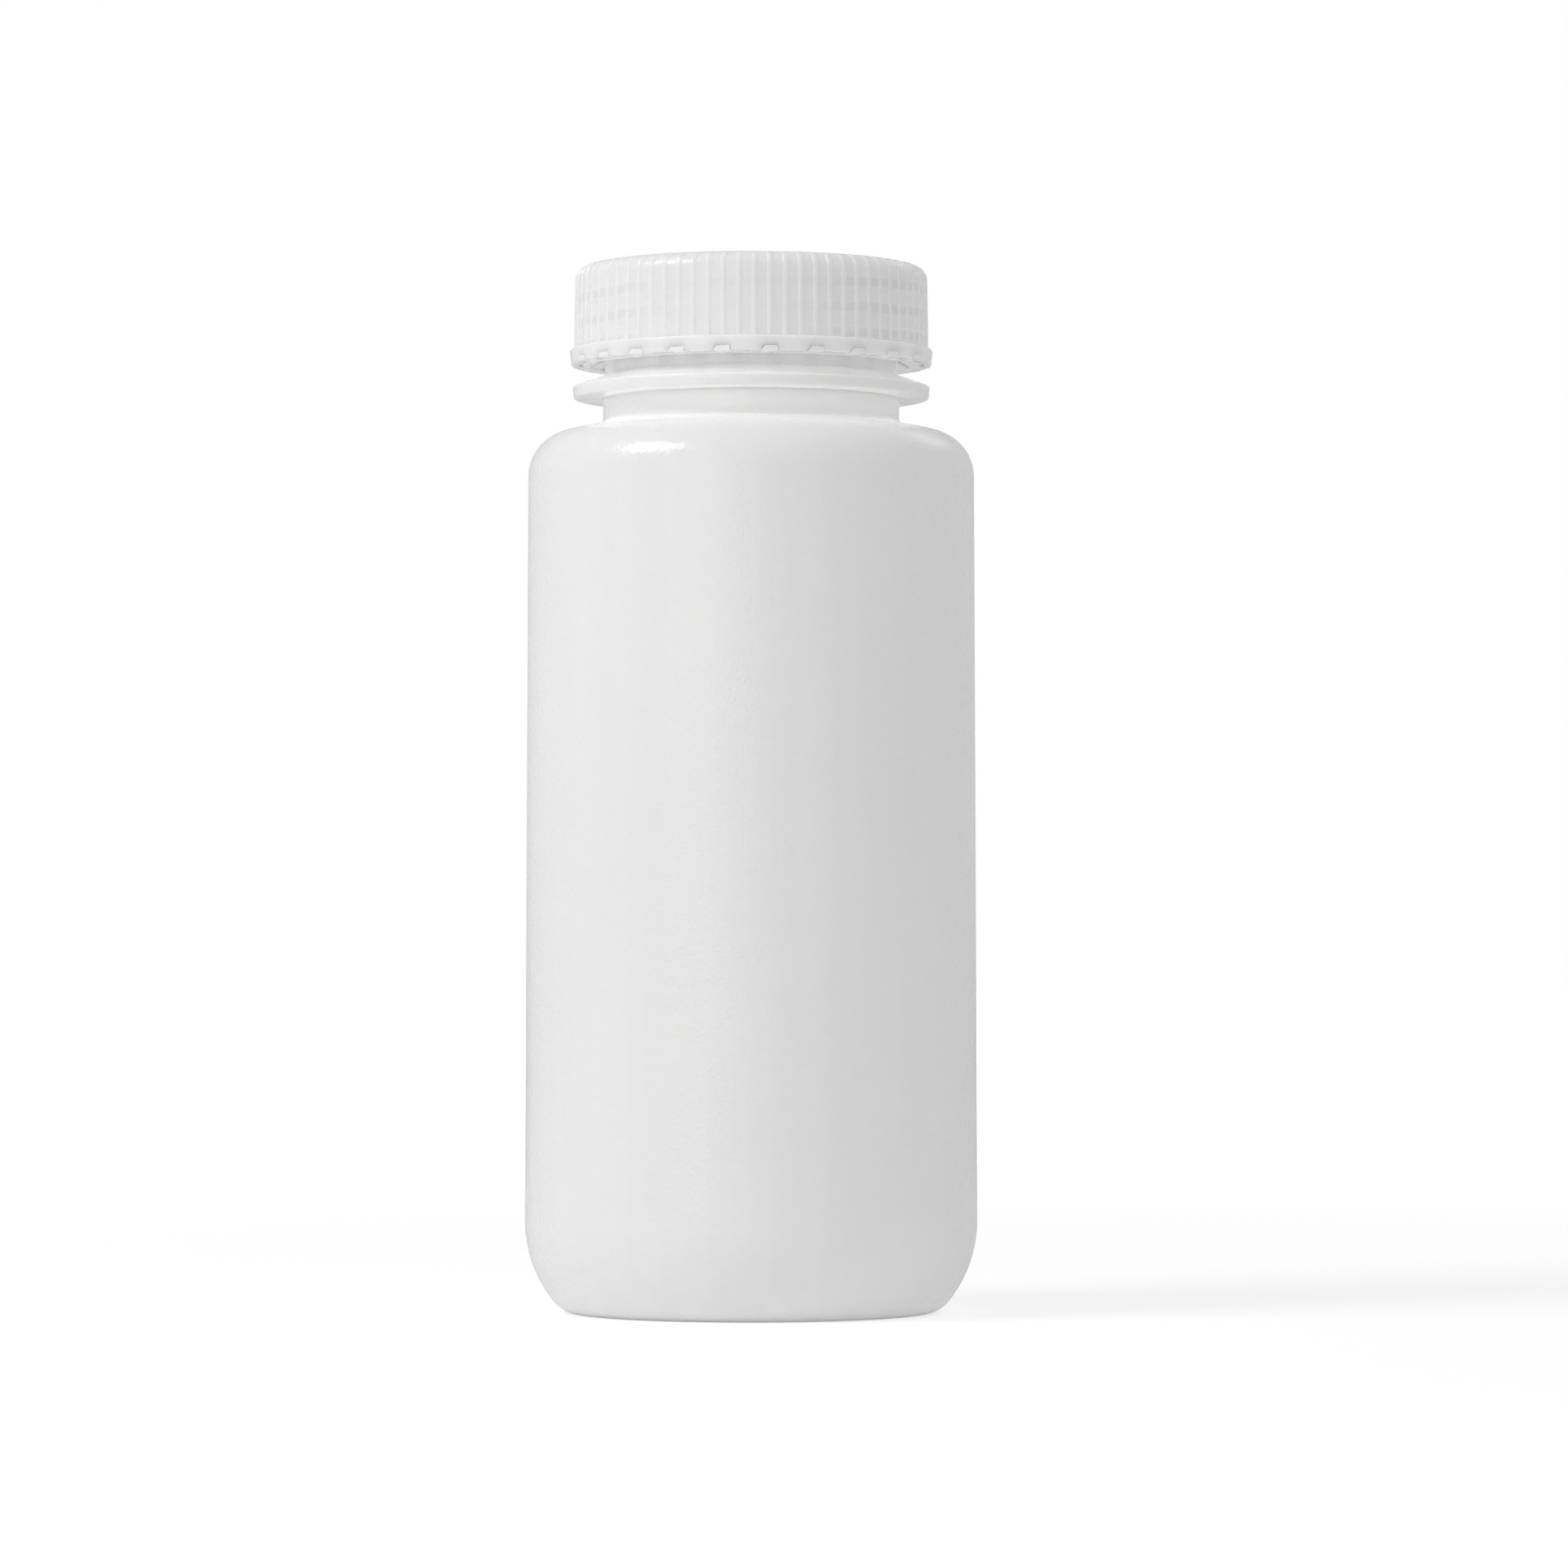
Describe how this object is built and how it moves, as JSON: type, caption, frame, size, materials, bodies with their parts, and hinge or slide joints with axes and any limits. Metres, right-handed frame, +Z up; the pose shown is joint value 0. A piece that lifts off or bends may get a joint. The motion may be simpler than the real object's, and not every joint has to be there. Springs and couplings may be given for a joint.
{
  "type": "wide-mouth reagent bottle",
  "caption": "Round wide-mouth bottle of natural plastic with a ribbed screw cap over a tamper-evident ring, for storing and pouring reagents.",
  "frame": {"origin": "middle of the standing face", "axes": "+Z up along the bottle's axis, -Y towards the side that the picture shows, +X to that side's right"},
  "size_m": [0.073, 0.073, 0.1688],
  "materials": {
    "bottle_body": "natural high-density polyethylene, satin, faintly rippled from the blow mould",
    "cap": "natural polypropylene, slightly translucent, satin",
    "seal": "white closed-cell polyethylene foam",
    "ring": "natural polypropylene, slightly translucent, satin"
  },
  "bodies": {
    "bottle": {"bottle": "bottle_body"},
    "tamper_ring": {"tamper_ring": "ring"},
    "cap": {"screw_cap": "cap", "sealing_disc": "seal"}
  },
  "joints": [
    {"name": "closure_turn", "type": "hinge", "parent": "bottle", "child": "tamper_ring", "pos_m": [0, 0, 0.16], "axis": [0, 0, 1], "range_deg": [0, 1440]},
    {"name": "cap_lift", "type": "slide", "parent": "tamper_ring", "child": "cap", "axis": [0, 0, 1], "range_m": [0, 0.016]}
  ],
  "couplings": [
    {"joint": "cap_lift", "follows": "closure_turn", "m_per_rad": 0.0006366}
  ]
}
